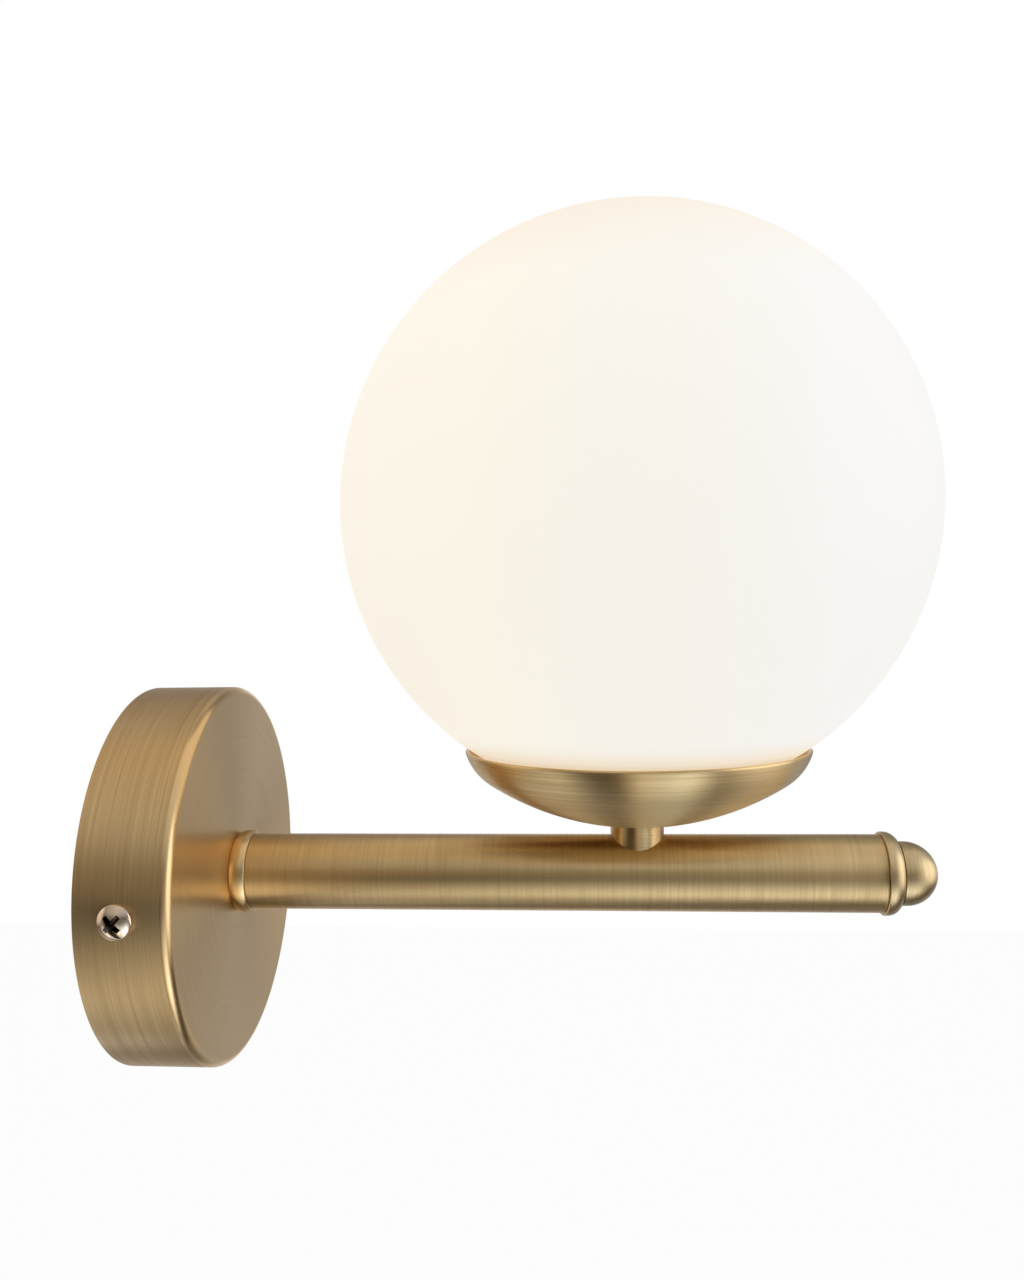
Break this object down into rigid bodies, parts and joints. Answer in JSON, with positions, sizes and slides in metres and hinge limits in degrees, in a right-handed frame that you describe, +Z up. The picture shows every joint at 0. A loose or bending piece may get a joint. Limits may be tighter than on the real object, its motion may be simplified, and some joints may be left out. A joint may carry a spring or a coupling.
{
  "type": "wall lamp",
  "caption": "Wall lamp with a round wall plate, a straight tube arm with a domed end, and an opal glass globe standing in a shallow cup.",
  "frame": {"origin": "centre of the wall plate on the wall plane, midway between the bracket's two wall slots", "axes": "+Z up, +Y into the wall, the arm runs along -Y, +X to the right seen from the room"},
  "size_m": [0.152, 0.2072, 0.2218],
  "materials": {
    "brass_plate": "antique brass, brushed and lacquered",
    "brass_cup": "antique brass, spun, brushed around, lacquered",
    "brass_tube": "antique brass, brushed around the tube, lacquered",
    "brass_turned": "antique brass, turned, satin",
    "nickel_screw": "nickel plated, polished",
    "zinc_steel": "bright zinc plated",
    "plain_brass": "plain brass",
    "carrier_aluminium": "turned, plain",
    "block_plastic": "natural polyamide",
    "lead_brown": "silicone insulation",
    "lead_blue": "silicone insulation",
    "lead_green": "silicone insulation, green and yellow",
    "silicone": "translucent silicone",
    "ceramic": "glazed ceramic",
    "opal_glass": "triplex opal glass, satin outside",
    "lamp_glass": "frosted capsule"
  },
  "bodies": {
    "base": {"wall_plate": "brass_plate", "cup": "brass_cup", "arm_tube": "brass_tube", "collar_ring": "brass_turned", "end_ring": "brass_turned", "finial": "brass_turned", "saddle_spacer": "brass_turned", "side_screws": "nickel_screw", "wall_bracket": "zinc_steel", "plate_washer": "zinc_steel", "plate_nut": "zinc_steel", "plate_nipple": "zinc_steel", "head_nipple": "zinc_steel", "head_nut": "zinc_steel", "holder_strap": "zinc_steel", "holder_screws": "zinc_steel", "head_bush": "zinc_steel", "arm_plug": "zinc_steel", "end_plug": "zinc_steel", "block_screw": "zinc_steel", "earth_screw": "plain_brass", "earth_tag": "plain_brass", "terminal_screws": "plain_brass", "contacts": "plain_brass", "carrier": "carrier_aluminium", "terminal_block": "block_plastic", "live_lead": "lead_brown", "neutral_lead": "lead_blue", "earth_lead": "lead_green", "lampholder": "ceramic"},
    "neck_washer": {"slip_washer": "silicone"},
    "globe": {"globe": "opal_glass", "globe_crown": "opal_glass"},
    "lamp": {"lamp_bulb": "lamp_glass", "lamp_base": "ceramic", "lamp_pins": "nickel_screw"}
  },
  "joints": [
    {"name": "globe_unscrew", "type": "hinge", "parent": "base", "child": "neck_washer", "pos_m": [0, -0.1305, 0.0199], "axis": [0, 0, 1], "range_deg": [0, 540]},
    {"name": "globe_rise", "type": "slide", "parent": "neck_washer", "child": "globe", "axis": [0, 0, 1], "range_m": [0, 0.006]},
    {"name": "lamp_pull", "type": "slide", "parent": "base", "child": "lamp", "axis": [0, 0, 1], "range_m": [0, 0.016]}
  ],
  "couplings": [
    {"joint": "globe_rise", "follows": "globe_unscrew", "m_per_rad": 0.00063662}
  ]
}
